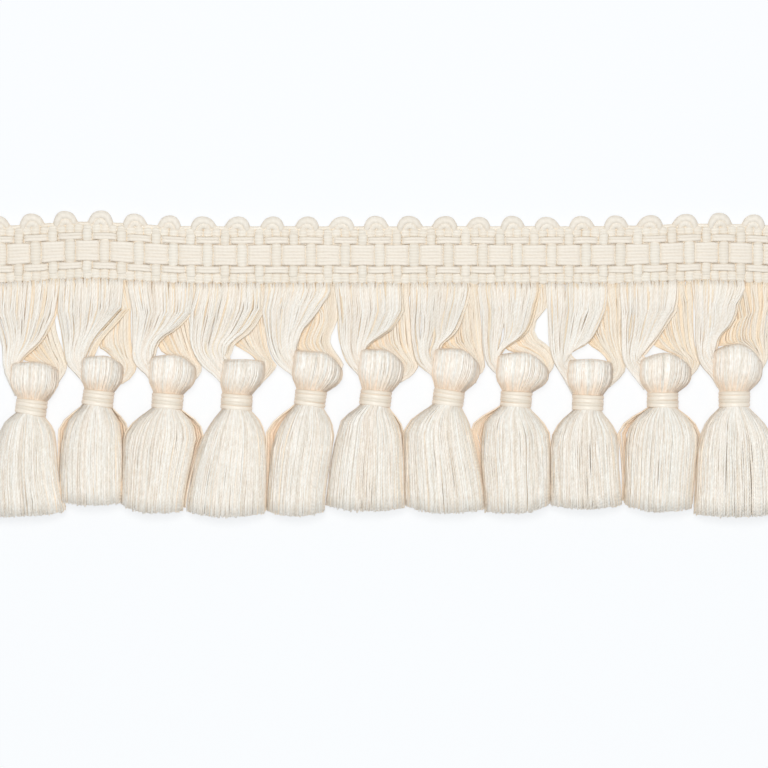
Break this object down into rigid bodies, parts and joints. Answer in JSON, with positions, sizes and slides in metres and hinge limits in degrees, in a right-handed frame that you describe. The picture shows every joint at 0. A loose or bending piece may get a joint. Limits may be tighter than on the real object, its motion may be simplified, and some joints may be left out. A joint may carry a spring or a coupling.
{
  "type": "tassel fringe trim",
  "caption": "Ivory tassel fringe trim: woven scalloped heading, crossed net of fringe yarn and a row of tied tassels, lying flat.",
  "frame": {"origin": "middle of the heading's flat back, on the surface that the trim lies on", "axes": "+X along the trim, +Y from the tassels to the looped edge of the heading, +Z out of the face"},
  "size_m": [0.198, 0.0767, 0.0086],
  "materials": {
    "heading_weave": "ivory ribbed weave with a soft sheen",
    "net_yarn": "ivory twisted yarn with a silky sheen",
    "tassel_yarn": "ivory twisted yarn with a silky sheen",
    "tie_yarn": "wound ivory yarn with a brighter sheen"
  },
  "bodies": {
    "root": {"heading": "heading_weave", "fringe_net": "net_yarn", "tassel_01": "tassel_yarn", "tassel_02": "tassel_yarn", "tassel_03": "tassel_yarn", "tassel_04": "tassel_yarn", "tassel_05": "tassel_yarn", "tassel_06": "tassel_yarn", "tassel_07": "tassel_yarn", "tassel_08": "tassel_yarn", "tassel_09": "tassel_yarn", "tassel_10": "tassel_yarn", "tassel_11": "tassel_yarn", "tie_01": "tie_yarn", "tie_02": "tie_yarn", "tie_03": "tie_yarn", "tie_04": "tie_yarn", "tie_05": "tie_yarn", "tie_06": "tie_yarn", "tie_07": "tie_yarn", "tie_08": "tie_yarn", "tie_09": "tie_yarn", "tie_10": "tie_yarn", "tie_11": "tie_yarn"}
  },
  "joints": []
}
